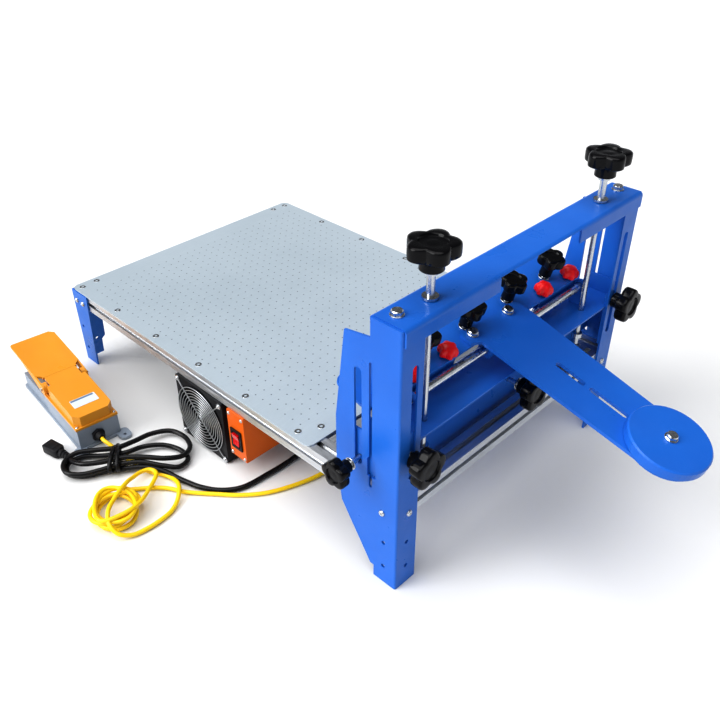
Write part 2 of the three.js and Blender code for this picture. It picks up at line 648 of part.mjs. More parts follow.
// Cast cover with chamfered rear corners and a sloping top, pocketed and bored for the treadle.
function pedalCover() {
  const rim = shapeOf([[-HALF_PEDAL, 0], [HALF_PEDAL, 0], [HALF_PEDAL, BODY_LENGTH],
    [-HALF_PEDAL, BODY_LENGTH]]);
  const side = HALF_PEDAL - 2.5;
  const upper = shapeOf([[-side + 9, 2.5], [side - 9, 2.5], [side, 12], [side, BODY_LENGTH],
    [-side, BODY_LENGTH], [-side, 12]]);
  const whole = join(
    extrude(rim, 4).translate(0, 0, COVER_BASE),
    extrude(upper, topAt(BODY_LENGTH) - COVER_BASE + 5).translate(0, 0, COVER_BASE),
  );
  const above = block(-60, 60, -20, 160, 0, 60).rotateX(Math.atan(SLOPE)).translate(0, 0, REAR_TOP);
  const pockets = [-1, 1].map((end) =>
    block(end * 45 - 18, end * 45 + 18, PIVOT.y - 13, BODY_LENGTH + 1, PIVOT.z - 12, 90));
  return cut(whole, above, ...pockets, pinAcross(PIVOT.r + GAP, HALF_PEDAL + 2));
}

function pinAcross(radius, reach) {
  return along(pin(radius, 2 * reach, 16).translate(0, 0, -reach), "+X").translate(0, PIVOT.y, PIVOT.z);
}

// Treadle: sloping plate with a turned-down toe, and a skirt and a boss each side on the pin.
function pedalTreadle() {
  const y0 = BODY_LENGTH + 1;
  const outside = HALF_PEDAL + 3;
  const toe = 246;
  const skirts = [-1, 1].flatMap((side) => {
    const profile = shapeOf([[PIVOT.y - 8, PIVOT.z + 6], [PIVOT.y - 10, PIVOT.z - 2],
      [PIVOT.y - 6, PIVOT.z - 9], [PIVOT.y + 6, PIVOT.z - 10], [y0 + 62, topAt(y0 + 62) - 5],
      [y0 + 62, topAt(y0 + 62) - 1], [y0 + 10, topAt(y0 + 10) - 1], [PIVOT.y + 6, PIVOT.z + 9]]);
    const boss = along(pin(9.5, 7.5, 20), side > 0 ? "+X" : "-X")
      .translate(side * (HALF_PEDAL - 6), PIVOT.y, PIVOT.z);
    return [sideSheet(profile, side * (outside - 1.25) - 1.25, 2.5), boss];
  });
  const outline = shapeOf([[-outside + 9, y0], [outside - 9, y0], [outside - 9, y0 + 4],
    [outside, y0 + 12], [outside, toe - 8], [outside - 8, toe], [-outside + 3, toe], [-outside, toe - 3],
    [-outside, y0 + 12], [-outside + 9, y0 + 4]]);
  const plate = extrude(outline, 4)
    .rotateX(Math.atan(SLOPE))
    .translate(0, 0, REAR_TOP - 4);
  const lip = block(-outside + 6, outside - 9, toe - 4.5, toe - 1.5, topAt(toe) - 13, topAt(toe) - 2);
  return cut(join(plate, lip, ...skirts), pinAcross(PIVOT.r + GAP, HALF_PEDAL + 9));
}

// Cable gland with its bore open to the cord.
function pedalGland() {
  const nut = new THREE.CylinderGeometry(11, 11, 6, 6).rotateX(Math.PI / 2).translate(0, 0, 3);
  const dome = new THREE.CylinderGeometry(6, 8.5, 9.5, 16).rotateX(Math.PI / 2).translate(0, 0, 9.75);
  const bore = pin(PEDAL_CORD_R + GAP, 12, 12).translate(0, 0, 5);
  return along(cut(join(nut, dome), bore), "-Y").translate(GLAND.x, -GAP, GLAND.z);
}

add("pedal_base", pedalBase(), GREY_BASE, pedal);
add("pedal_cover", pedalCover(), ORANGE_PEDAL, pedal);
add("pedal_treadle", pedalTreadle(), ORANGE_PEDAL, pedal);
add("pedal_pin", pinAcross(PIVOT.r, HALF_PEDAL + 6), ZINC, pedal);
add("pedal_gland", pedalGland(), BLACK_MATT, pedal);

// ---- origin: middle of the object on its floor, cords left out ---------------------------
press.updateMatrixWorld(true);
const extent = new THREE.Box3().setFromObject(press);
const middle = extent.getCenter(new THREE.Vector3());
press.position.set(-middle.x, -middle.y, -extent.min.z);

// ---- cords on the floor -------------------------------------------------------------------
// Mains lead: out of the control box's inner end, under the rail, to its tied hank.
const MAINS_ROUTE = [
  [BOX.x1 + 1, 240, 72], [-160, 240, 72], [-136, 232, 62], [-124, 220, 42], [-130, 207, 18],
  [-148, 199, 6], [-174, 196, 4.3], [-225, 197, 4.3], [-272, 203, 4.3], [-298, 222, 4.3],
  [-315, 250, 4.3], [-322, 272, 4.3], [-326, 290, 4.3], [-325, 300, 4.3], [-319.6, 311, 4.3],
];
// Pedal cord: box to bundle, then bundle to the pedal's gland.
const PEDAL_ROUTE_BOX = [
  [BOX.x1 + 1, 221, 58], [-160, 221, 58], [-128, 205, 47], [-108, 182, 28], [-108, 158, 10],
  [-126, 144, 4], [-150, 139, 3.6], [-174, 140, 3.6], [-214, 151, 3.6], [-252, 168, 3.6],
  [-282, 192, 3.6], [-308, 222, 3.6], [-322, 248, 3.6], [-331, 264, 3.6], [-341.7, 272.6, 3.6],
];
const glandMouth = new THREE.Vector3(GLAND.x, -GAP - GLAND.length - GAP, GLAND.z)
  .applyMatrix4(pedal.matrix);
const PEDAL_ROUTE_PEDAL = [
  [-351, 342.5, 3.6], [-351, 356, 3.6], [-353, 372, 3.6], [-356, 390, 4], [-359, 404, 8],
  [-362.5, 418, 15], [glandMouth.x - 0.5, glandMouth.y - 6, 19.3], glandMouth.toArray(),
];
const HANK = [
  [-445, 432], [-447, 408], [-426, 382], [-398, 362], [-345, 350], [-326, 322], [-306, 301],
  [-284, 308], [-266, 348], [-261, 390], [-272, 406], [-300, 414], [-352, 418], [-378, 428],
  [-408, 444], [-430, 439.5],
];
const BUNDLE = [
  [-346, 268], [-362, 246], [-392, 236], [-434, 250], [-460, 256], [-470, 272], [-472, 295],
  [-460, 318], [-420, 332], [-400, 342], [-345, 342], [-338, 310], [-338, 278],
];

function mainsHank() {
  const hank = extrude(shapeOf(HANK), 22).translate(0, 0, 0.5);
  const ear = block(-412, -374, 424, 462, -1, 6);
  return cut(hank, ear, tube(PEDAL_ROUTE_PEDAL, PEDAL_CORD_R + 1, 16));
}

// Moulded connector: sleeve out of the hank, then the body.
function mainsPlug() {
  const sleeve = block(-5, 5, 0, 26, 4, 14);
  const body = block(-10, 10, 24, 56, 1, 17);
  return join(sleeve, body).rotateZ(0.2).translate(-419.3, 442.9, 0);
}

add("mains_lead", tube(MAINS_ROUTE, MAINS_R, 22), BLACK_CORD);
add("mains_hank", mainsHank(), BLACK_CORD);
add("mains_plug", mainsPlug(), BLACK_MATT);
add("pedal_cord_box_end", tube(PEDAL_ROUTE_BOX, PEDAL_CORD_R, 26), YELLOW_CORD);
add("pedal_cord_bundle", extrude(shapeOf(BUNDLE), 28).translate(0, 0, 0.5), YELLOW_CORD);
add("pedal_cord_pedal_end", tube(PEDAL_ROUTE_PEDAL, PEDAL_CORD_R, 10), YELLOW_CORD);

export default press;
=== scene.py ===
"""Looks of the tabletop screen-printing press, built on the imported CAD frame.

Lengths in the piece tables are millimetres in the design frame: x across the gantry from its
middle, y along the bed from the gantry, z up from the bench. at() turns them into metres.
"""
import json
import math

import bmesh
import bpy
from mathutils import Matrix, Vector


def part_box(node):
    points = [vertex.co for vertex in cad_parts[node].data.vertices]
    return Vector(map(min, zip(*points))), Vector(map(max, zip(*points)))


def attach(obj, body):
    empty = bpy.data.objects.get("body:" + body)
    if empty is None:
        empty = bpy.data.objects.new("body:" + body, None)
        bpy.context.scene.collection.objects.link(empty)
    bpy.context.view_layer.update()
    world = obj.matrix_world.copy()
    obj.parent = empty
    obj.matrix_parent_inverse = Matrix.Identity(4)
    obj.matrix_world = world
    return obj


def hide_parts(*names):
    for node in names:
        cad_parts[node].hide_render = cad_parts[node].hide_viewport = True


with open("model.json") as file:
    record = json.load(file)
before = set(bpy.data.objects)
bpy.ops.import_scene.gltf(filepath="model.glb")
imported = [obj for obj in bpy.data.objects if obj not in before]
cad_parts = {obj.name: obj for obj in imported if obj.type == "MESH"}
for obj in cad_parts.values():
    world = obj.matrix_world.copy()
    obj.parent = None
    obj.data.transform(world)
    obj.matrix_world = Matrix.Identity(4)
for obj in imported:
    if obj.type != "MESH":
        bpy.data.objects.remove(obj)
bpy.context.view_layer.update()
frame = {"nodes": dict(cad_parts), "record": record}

bed_low, bed_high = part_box("bed_plate")
ORIGIN = Vector(((bed_low[0] + bed_high[0]) / 2, bed_low[1] - 0.070, 0.0))
TAU = 2 * math.pi

# Places and sizes of the design, in millimetres.
HALF_WIDTH = 250  # outer faces of the legs, posts, fan and control box
BED_TOP = 151
GANTRY_REAR = -90
GANTRY_TOP = 407
ROD_X, ROD_Y = 178, -66  # lifting screws
KNOB_BASE = 443.7  # underside of the lifting knobs
SHAFT_Y, SHAFT_Z = -52, 265
SIDE_LOCK = {"x": HALF_WIDTH + 18, "y": GANTRY_REAR + 66, "z": 192}
REAR_LOCKS = (  # name, x, y of the knob's base, z, length of the stud
    ("left", -226, GANTRY_REAR - 1, 217, 12.5),
    ("centre", 0, GANTRY_REAR + 2.3, 203, 45),
    ("right", 226, GANTRY_REAR - 1, 242, 12.5),
)
FAN_Y, FAN_Z, FAN_PITCH = 321, 59.3, 52.5
PEDAL_X, PEDAL_Y = -361, 452
# On the tilting head, with the shaft's axis at the origin.
LEVEL_SCREWS, LEVEL_Y, LEVEL_BASE = (-172, -106, 106, 172), 17, 14.3
CLAMP_KNOBS, CLAMP_Y, CLAMP_BASE = (-137, -46, 46, 137), 37, 19.6
ARM_TOP = 19.3
DISC_Y, DISC_TOP = -246.5, 34.1


def at(x, y, z):
    """Point of the design frame, in metres."""
    return ORIGIN + Vector((x, y, z)) / 1000


HEAD = Matrix.Translation(at(0, SHAFT_Y, SHAFT_Z)) @ Matrix.Rotation(math.radians(15), 4, "X")
PEDAL = Matrix.Translation(at(PEDAL_X, PEDAL_Y, 0)) @ Matrix.Rotation(math.radians(-5.5), 4, "Z")
PEDAL_TOP = PEDAL @ Matrix.Translation((0, 0, 0.062)) @ Matrix.Rotation(math.atan(0.075), 4, "X")
PRESS = Matrix.Translation(at(0, 0, 0))


def placed(base, x, y, z, axis=(0, 0, 1), spin=0.0):
    """Matrix that puts a piece's origin at (x, y, z) mm of a base frame and its +Z along axis."""
    turn = Matrix()
    if axis != (0, 0, 1):
        turn = Vector(axis).to_track_quat("Z", "Y").to_matrix().to_4x4()
    return base @ Matrix.Translation(Vector((x, y, z)) / 1000) @ turn @ Matrix.Rotation(spin, 4, "Z")


# ---- camera ------------------------------------------------------------------------------
def make_camera():
    """The photograph's viewpoint: yaw from +X towards +Y, pitch below the horizon, small roll."""
    yaw, pitch, roll = (math.radians(a) for a in (44.53, 35.15, -0.33))
    ahead = Vector((math.cos(yaw) * math.cos(pitch), math.sin(yaw) * math.cos(pitch),
                    -math.sin(pitch)))
    level = Vector((math.sin(yaw), -math.cos(yaw), 0))
    over = level.cross(ahead)
    right = math.cos(roll) * level + math.sin(roll) * over
    up = math.cos(roll) * over - math.sin(roll) * level
    data = bpy.data.cameras.new("camera")
    data.lens = 40.54
    data.sensor_width = 36
    data.clip_end = 50
    camera = bpy.data.objects.new("camera", data)
    turn = Matrix((right, up, -ahead)).transposed().to_4x4()
    camera.matrix_world = Matrix.Translation(at(-780.5, -549.8, 865.6)) @ turn
    bpy.context.scene.collection.objects.link(camera)
    bpy.context.scene.camera = camera


make_camera()


# ---- materials ---------------------------------------------------------------------------
class Surface:
    """A Principled material with small helpers for its node tree."""

    def __init__(self, name, color, roughness, metallic=0.0, **constants):
        self.material = bpy.data.materials.new(name)
        self.material.use_nodes = True
        self.nodes = self.material.node_tree.nodes
        self.links = self.material.node_tree.links
        self.shader = self.nodes["Principled BSDF"]
        self.color = (*color, 1.0)
        self.shader.inputs["Base Color"].default_value = self.color
        self.shader.inputs["Roughness"].default_value = roughness
        self.shader.inputs["Metallic"].default_value = metallic
        for key, value in constants.items():
            self.shader.inputs[key.replace("_", " ")].default_value = value
        self.place = self.nodes.new("ShaderNodeTexCoord").outputs["Object"]
        self.bumps = None

    def noise(self, scale, detail=3.0, stretch=(1, 1, 1), roughness=0.5):
        mapping = self.nodes.new("ShaderNodeMapping")
        mapping.inputs["Scale"].default_value = stretch
        self.links.new(self.place, mapping.inputs["Vector"])
        noise = self.nodes.new("ShaderNodeTexNoise")
        noise.inputs["Scale"].default_value = scale
        noise.inputs["Detail"].default_value = detail
        noise.inputs["Roughness"].default_value = roughness
        self.links.new(mapping.outputs["Vector"], noise.inputs["Vector"])
        return noise.outputs["Fac"]

    def math(self, operation, a, b=0.0, clamp=False):
        node = self.nodes.new("ShaderNodeMath")
        node.operation = operation
        node.use_clamp = clamp
        for socket, value in zip(node.inputs, (a, b)):
            if isinstance(value, (int, float)):
                socket.default_value = value
            else:
                self.links.new(value, socket)
        return node.outputs[0]

    def between(self, value, low, high, out_low, out_high):
        """Maps low..high to out_low..out_high, clamped."""
        node = self.nodes.new("ShaderNodeMapRange")
        keys = ("From Min", "From Max", "To Min", "To Max")
        for key, number in zip(keys, (low, high, out_low, out_high)):
            node.inputs[key].default_value = number
        self.links.new(value, node.inputs["Value"])
        return node.outputs["Result"]

    def tint(self, factor, color):
        """Mixes another colour over the present one."""
        mix = self.nodes.new("ShaderNodeMix")
        mix.data_type = "RGBA"
        mix.inputs["A"].default_value = self.color
        mix.inputs["B"].default_value = (*color, 1.0)
        base = self.shader.inputs["Base Color"]
        if base.is_linked:
            self.links.new(base.links[0].from_socket, mix.inputs["A"])
        self.links.new(factor, mix.inputs["Factor"])
        self.links.new(mix.outputs["Result"], base)

    def rough(self, value):
        self.links.new(value, self.shader.inputs["Roughness"])

    def bump(self, height, strength, distance):
        """Adds relief on top of the bumps already there."""
        node = self.nodes.new("ShaderNodeBump")
        node.inputs["Strength"].default_value = strength
        node.inputs["Distance"].default_value = distance
        self.links.new(height, node.inputs["Height"])
        if self.bumps:
            self.links.new(self.bumps, node.inputs["Normal"])
        self.bumps = node.outputs["Normal"]
        self.links.new(self.bumps, self.shader.inputs["Normal"])


def powder_coat(name, color, shade, roughness=0.32, peel=0.25):
    """Gloss powder coat: orange peel, faint tone drift and dust in the roughness."""
    s = Surface(name, color, roughness, Specular_IOR_Level=0.35)
    s.tint(s.between(s.noise(9, 4), 0.35, 0.7, 0.0, 0.55), shade)
    s.rough(s.between(s.noise(26, 5), 0.3, 0.75, roughness - 0.06, roughness + 0.14))
    s.bump(s.noise(900, 2), peel * 0.4, 0.0002)
    s.bump(s.noise(260, 2), peel, 0.0003)
    return s.material


def bare_metal(name, color, shade, roughness, grain, scale=60, bump=0.12):
    """Drawn or brushed metal: fine lines across the stretched axes of its noise."""
    s = Surface(name, color, roughness, 1.0)
    s.tint(s.between(s.noise(scale, 5, grain), 0.3, 0.7, 0.0, 0.7), shade)
    s.rough(s.between(s.noise(scale * 1.7, 4, grain), 0.3, 0.7, roughness - 0.07, roughness + 0.12))
    s.bump(s.noise(scale * 2.5, 3, grain), bump, 0.0002)
    return s.material


def threaded(name, color, pitch):
    """Plated steel with the turns of a thread along Z, pitch in metres, with painted shade in each turn's
    valley.
    """
    s = Surface(name, color, 0.2, 1.0)
    split = s.nodes.new("ShaderNodeSeparateXYZ")
    s.links.new(s.place, split.inputs[0])
    turn = s.math("MULTIPLY", split.outputs[2], TAU / pitch)
    wave = s.math("SINE", turn)
    # Painted shade: the low part of each turn is tinted darker, as shade in the thread's groove.
    s.tint(s.between(wave, -1.0, 0.2, 0.18, 0.0), (0.25, 0.25, 0.26))
    s.bump(wave, 0.1, 0.0004)
    s.rough(s.between(s.noise(80, 3), 0.3, 0.7, 0.14, 0.32))
    return s.material


def moulded(name, color, shade, roughness, texture=0.15, scale=700, specular=0.5):
    """Moulded plastic or rubber: fine skin texture with a slow drift of tone."""
    s = Surface(name, color, roughness, Specular_IOR_Level=specular)
    s.tint(s.between(s.noise(14, 4), 0.35, 0.7, 0.0, 0.6), shade)
    s.rough(s.between(s.noise(45, 4), 0.3, 0.7, max(roughness - 0.06, 0.03), roughness + 0.1))
    s.bump(s.noise(scale, 3), texture, 0.00025)
    return s.material


def perforated_sheet():
    """Satin steel sheet with air holes on a square grid, drawn in the shader alone: each hole is a dark disc
    of painted shade with a ring of painted shade round its rim.
    """
    grid = 0.016
    reach_x, reach_y = 0.2265, 0.2665
    middle_y, first_y = ORIGIN.y + 0.3775, ORIGIN.y + 0.0015
    s = Surface("perforated_sheet", (0.53, 0.605, 0.665), 0.42, 0.3)
    s.tint(s.between(s.noise(5, 4), 0.35, 0.7, 0.0, 0.7), (0.465, 0.54, 0.60))
    # Lighter streaks along y: the sheet's rolling grain with a painted sheen.
    s.tint(s.between(s.noise(70, 6, (1, 12, 1)), 0.4, 0.75, 0.0, 0.3), (0.60, 0.675, 0.73))
    s.rough(s.between(s.noise(90, 5, (1, 10, 1)), 0.3, 0.7, 0.30, 0.48))
    split = s.nodes.new("ShaderNodeSeparateXYZ")
    s.links.new(s.place, split.inputs[0])
    offsets = []
    inside = []
    for axis, start, middle, reach in ((0, ORIGIN.x, ORIGIN.x, reach_x),
                                       (1, first_y, middle_y, reach_y)):
        cell = s.math("DIVIDE", s.math("SUBTRACT", split.outputs[axis], start), grid)
        offsets.append(s.math("SUBTRACT", cell, s.math("ROUND", cell)))
        from_middle = s.math("ABSOLUTE", s.math("SUBTRACT", split.outputs[axis], middle))
        inside.append(s.math("LESS_THAN", from_middle, reach))
    squares = [s.math("MULTIPLY", o, o) for o in offsets]
    radius = s.math("MULTIPLY", s.math("SQRT", s.math("ADD", *squares)), grid * 1000)
    area = s.math("MULTIPLY", inside[0], inside[1])
    # Painted shade: each hole is tinted near black, as if shade lay in the opening, and a darker ring runs
    # round its rim.
    hole = s.math("MULTIPLY", s.between(radius, 0.7, 1.0, 1.0, 0.0), area, clamp=True)
    rim = s.math("MULTIPLY", s.between(radius, 1.1, 2.0, 1.0, 0.0), area, clamp=True)
    s.tint(s.math("MULTIPLY", rim, 0.35), (0.36, 0.43, 0.50))
    s.tint(hole, (0.05, 0.06, 0.08))
    s.bump(hole, -0.6, 0.001)
    s.bump(s.noise(420, 3, (1, 8, 1)), 0.05, 0.0002)
    return s.material


BLUE = powder_coat("blue_powder_coat", (0.018, 0.155, 0.58), (0.012, 0.120, 0.49))
ALUMINIUM = bare_metal("anodised_aluminium", (0.68, 0.70, 0.73), (0.54, 0.56, 0.59), 0.42,
                       (6, 0.4, 6))
CROSS_ALUMINIUM = bare_metal("anodised_cross_rail", (0.66, 0.68, 0.71), (0.52, 0.54, 0.57), 0.42,
                             (0.4, 6, 6))
GALVANISED = bare_metal("galvanised_sheet", (0.45, 0.47, 0.49), (0.33, 0.35, 0.37), 0.45,
                        (1, 1, 1), 45)
BED = perforated_sheet()
STEEL = bare_metal("plated_steel", (0.68, 0.70, 0.72), (0.54, 0.56, 0.58), 0.24,
                   (3, 3, 3), 40, 0.02)
WIRE = bare_metal("plated_wire", (0.62, 0.64, 0.66), (0.50, 0.52, 0.54), 0.34, (3, 3, 3), 70, 0.04)
THREAD = threaded("threaded_rod", (0.60, 0.62, 0.64), 0.0015)
KNOB = moulded("polished_phenolic", (0.003, 0.003, 0.004), (0.006, 0.006, 0.007), 0.16,
               0.04, 300, 0.2)
BLACK = moulded("matt_black_moulding", (0.008, 0.008, 0.010), (0.014, 0.014, 0.017), 0.42,
                0.25, 700, 0.25)
RED_CAP = moulded("red_moulding", (0.92, 0.006, 0.008), (0.80, 0.004, 0.006), 0.34, 0.05, 400)
ROCKER = moulded("red_rocker", (0.62, 0.010, 0.014), (0.44, 0.004, 0.006), 0.16, 0.03, 300)
ORANGE = powder_coat("orange_powder_coat", (0.68, 0.130, 0.002), (0.56, 0.100, 0.002), 0.36)
PEDAL_ORANGE = powder_coat("pedal_enamel", (0.74, 0.34, 0.036), (0.66, 0.27, 0.024), 0.32, 0.35)
PEDAL_GREY = powder_coat("pedal_base_enamel", (0.31, 0.36, 0.43), (0.25, 0.29, 0.35), 0.42, 0.5)
LABEL = moulded("blank_label", (0.70, 0.75, 0.82), (0.60, 0.66, 0.74), 0.35, 0.05)
LABEL_BAND = moulded("label_band", (0.16, 0.24, 0.36), (0.12, 0.18, 0.28), 0.35, 0.05)
BLACK_CORD = moulded("black_sheath", (0.005, 0.005, 0.006), (0.010, 0.010, 0.012), 0.26,
                     0.10, 500, 0.3)
YELLOW_CORD = moulded("yellow_sheath", (0.95, 0.68, 0.006), (0.88, 0.55, 0.004), 0.38, 0.10, 500)


# ---- mesh helpers ------------------------------------------------------------------------
def finish_object(name, mesh, body, material, angle=40):
    """Makes an object of a mesh, with its material, that rides on a CAD body."""
    obj = bpy.data.objects.new(name, mesh)
    bpy.context.scene.collection.objects.link(obj)
    mesh.materials.append(material)
    smooth_by_angle(mesh, angle)
    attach(obj, body)
    return obj


def smooth_by_angle(mesh, degrees):
    mesh.shade_smooth()
    mesh.set_sharp_from_angle(angle=math.radians(degrees))


class Shape:
    """Collects closed solids in one mesh. Sizes are millimetres until make()."""

    def __init__(self):
        self.bm = bmesh.new()

    def add(self, points, faces, matrix=None):
        """Adds a piece given in millimetres and moved by a matrix in metres."""
        matrix = matrix or Matrix()
        corners = [self.bm.verts.new(matrix @ (Vector(p) / 1000)) for p in points]
        for face in faces:
            self.bm.faces.new([corners[i] for i in face])

    def revolve(self, rows, matrix, segments=48, lobes=None):
        """Turns (radius, height[, lobe weight]) rows about Z; a zero radius is a pole."""
        points, rings = [], []
        for row in rows:
            radius, height, weight = (*row, 0.0)[:3]
            if radius == 0:
                rings.append([len(points)])
                points.append((0, 0, height))
                continue
            ring = []
            for i in range(segments):
                angle = TAU * i / segments
                r = radius * (1 + weight * (lobes(angle) - 1)) if lobes else radius
                ring.append(len(points))
                points.append((r * math.cos(angle), r * math.sin(angle), height))
            rings.append(ring)
        faces = []
        for low, high in zip(rings, rings[1:]):
            for i in range(segments):
                j = (i + 1) % segments
                quad = [low[i % len(low)], low[j % len(low)],
                        high[j % len(high)], high[i % len(high)]]
                faces.append(list(dict.fromkeys(quad)))
        self.add(points, faces, matrix)

    def prism(self, outline, low, high, matrix, bevel=0.0, steps=2):
        """Extrudes an outline along Z and rounds the edges sharper than sharp_angle."""
        sharp_angle = 0.45
        count = len(outline)
        piece = bmesh.new()
        verts = [piece.verts.new((x, y, z)) for z in (low, high) for x, y in outline]
        piece.faces.new(verts[:count][::-1])
        piece.faces.new(verts[count:])
        for i in range(count):
            j = (i + 1) % count
            piece.faces.new([verts[i], verts[j], verts[count + j], verts[count + i]])
        if bevel:
            bmesh.ops.recalc_face_normals(piece, faces=piece.faces)
            sharp = [e for e in piece.edges if e.calc_face_angle(0) > sharp_angle]
            bmesh.ops.bevel(piece, geom=sharp, offset=bevel, segments=steps, profile=0.5,
                            affect="EDGES", clamp_overlap=True)
        piece.verts.ensure_lookup_table()
        piece.verts.index_update()
        self.add([v.co.copy() for v in piece.verts],
                 [[v.index for v in f.verts] for f in piece.faces], matrix)
        piece.free()

    def box(self, x0, x1, y0, y1, z0, z1, matrix, bevel=0.4):
        self.prism([(x0, y0), (x1, y0), (x1, y1), (x0, y1)], z0, z1, matrix, bevel)

    def pipe(self, points, radius, sides=10, closed=False, matrix=None):
        """Round bar along points in millimetres."""
        matrix = matrix or Matrix()
        path = [Vector(p) for p in points]
        count = len(path)
        normal = None
        rows = []
        for i, point in enumerate(path):
            before = path[i - 1] if i or closed else point
            after = path[(i + 1) % count] if i < count - 1 or closed else point
            along = (after - before).normalized()
            if normal is None:
                normal = along.orthogonal().normalized()
            normal = (normal - along * normal.dot(along)).normalized()
            side = along.cross(normal)
            turns = [TAU * k / sides for k in range(sides)]
            rows.append([point + radius * (math.cos(t) * normal + math.sin(t) * side)
                         for t in turns])
        faces = []
        for i in range(count if closed else count - 1):
            j = (i + 1) % count
            for k in range(sides):
                m = (k + 1) % sides
                faces.append([i * sides + k, i * sides + m, j * sides + m, j * sides + k])
        if not closed:
            faces.append(list(range(sides))[::-1])
            faces.append([(count - 1) * sides + k for k in range(sides)])
        self.add([p for row in rows for p in row], faces, matrix)

    def make(self, name, body, material, angle=40):
        """Ends the shape: one object of everything added to it."""
        bmesh.ops.recalc_face_normals(self.bm, faces=self.bm.faces)
        mesh = bpy.data.meshes.new(name)
        self.bm.to_mesh(mesh)
        self.bm.free()
        return finish_object(name, mesh, body, material, angle)


def polygon(sides, radius):
    """Corners of a regular polygon about the origin."""
    return [(radius * math.cos(TAU * i / sides), radius * math.sin(TAU * i / sides))
            for i in range(sides)]


def rounded(x0, x1, y0, y1, radius, steps=6):
    """Outline of a rectangle with rounded corners."""
    corners = ((x1, y1, 0), (x0, y1, 1), (x0, y0, 2), (x1, y0, 3))
    outline = []
    for x, y, quarter in corners:
        cx = x - radius if x == x1 else x + radius
        cy = y - radius if y == y1 else y + radius
        for i in range(steps + 1):
            angle = (quarter + i / steps) * math.pi / 2
            outline.append((cx + radius * math.cos(angle), cy + radius * math.sin(angle)))
    return outline


def smooth_path(points, step=3.0):
    """Points about step mm apart on a centripetal Catmull-Rom curve through the given ones."""
    path = [Vector(p) for p in points]
    path = [2 * path[0] - path[1], *path, 2 * path[-1] - path[-2]]
    made = []
    for a, b, c, d in zip(path, path[1:], path[2:], path[3:]):
        t1 = max((b - a).length, 1e-6) ** 0.5
        t2 = t1 + max((c - b).length, 1e-6) ** 0.5
        t3 = t2 + max((d - c).length, 1e-6) ** 0.5
        count = max(2, round((c - b).length / step))
        for i in range(count):
            t = t1 + (t2 - t1) * i / count
            ab = a.lerp(b, t / t1)
            bc = b.lerp(c, (t - t1) / (t2 - t1))
            cd = c.lerp(d, (t - t2) / (t3 - t2))
            abc = ab.lerp(bc, t / t2)
            bcd = bc.lerp(cd, (t - t1) / (t3 - t1))
            made.append(abc.lerp(bcd, (t - t1) / (t2 - t1)))
    return made + [path[-2]]


# ---- cords -------------------------------------------------------------------------------
def cord_piece(name, points, radius, material):
    """One open spline through points of the design frame: its object, path and length in metres."""
    path = [at(*p) for p in smooth_path(points)]
    curve = bpy.data.curves.new(name, "CURVE")
    curve.dimensions = "3D"
    curve.bevel_depth = radius / 1000
    curve.bevel_resolution = 3
    curve.use_fill_caps = True
    spline = curve.splines.new("POLY")
    spline.points.add(len(path) - 1)
    for point, place in zip(spline.points, path):
        point.co = (*place, 1.0)
    curve.materials.append(material)
    obj = bpy.data.objects.new(name, curve)
    bpy.context.scene.collection.objects.link(obj)
    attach(obj, "frame")
    return obj, path, sum((b - a).length for a, b in zip(path, path[1:]))


def make_mains_cord():
    """Mains lead: out of the control box's inner end, under the rail and into its tied hank."""
    lead = [
        (-169, 240, 72), (-160, 240, 72), (-136, 232, 62), (-124, 220, 42), (-130, 207, 18),
        (-148, 199, 6), (-174, 196, 4.3), (-225, 197, 4.3), (-272, 203, 4.3), (-298, 222, 4.3),
        (-315, 250, 4.3), (-322, 272, 4.3), (-327, 290, 4.6), (-334, 312, 8), (-350, 338, 11.2),
        (-372, 362, 8),
    ]
    # Each turn of the hank: left fold, back through the tie, right fold, back through the tie.
    hank = [
        (-400, 384, 5), (-426, 397, 5), (-439, 418, 5), (-428, 438, 5.5), (-404, 436, 6),
        (-380, 412, 8), (-354, 390, 11.4), (-326, 384, 9.5), (-300, 366, 8), (-287, 338, 6),
        (-291, 312, 6),
        (-312, 305, 8), (-332, 322, 13), (-352, 348, 17), (-376, 370, 14), (-404, 381, 13),
        (-430, 394, 13), (-443, 414, 13), (-436, 434, 14), (-412, 441, 15), (-386, 424, 16),
        (-360, 403, 17.5), (-332, 400, 15), (-300, 399, 12), (-273, 385, 10), (-265, 356, 9),
        (-274, 330, 9), (-297, 317, 13.5), (-322, 326, 19), (-345, 348, 22.5), (-369, 372, 22),
        (-396, 388, 20), (-418, 408, 18), (-424, 430, 14), (-421.5, 448, 10),
    ]
    obj, path, length = cord_piece("mains_cord", lead + hank, 4, BLACK_CORD)
    plug = make_plug()
    tie = make_tie()
    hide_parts("mains_lead", "mains_hank")


def make_tie():
    """Two turns of the same sheathed wire round the waist of the hank."""
    half_width, half_height, steps = 26, 11.6, 32
    shape = Shape()
    for middle, across in (((-370, 384, 15.6), (0.55, 0.83, 0)),
                           ((-378, 386, 15.6), (0.68, 0.73, 0))):
        ring = []
        for i in range(steps):
            angle = TAU * i / steps
            ring.append(Vector(middle) + half_width * math.cos(angle) * Vector(across)
                        + Vector((0, 0, half_height * math.sin(angle))))
        shape.pipe(ring, 3.5, 10, closed=True, matrix=PRESS)
    return shape.make("hank_tie", "frame", BLACK_CORD)


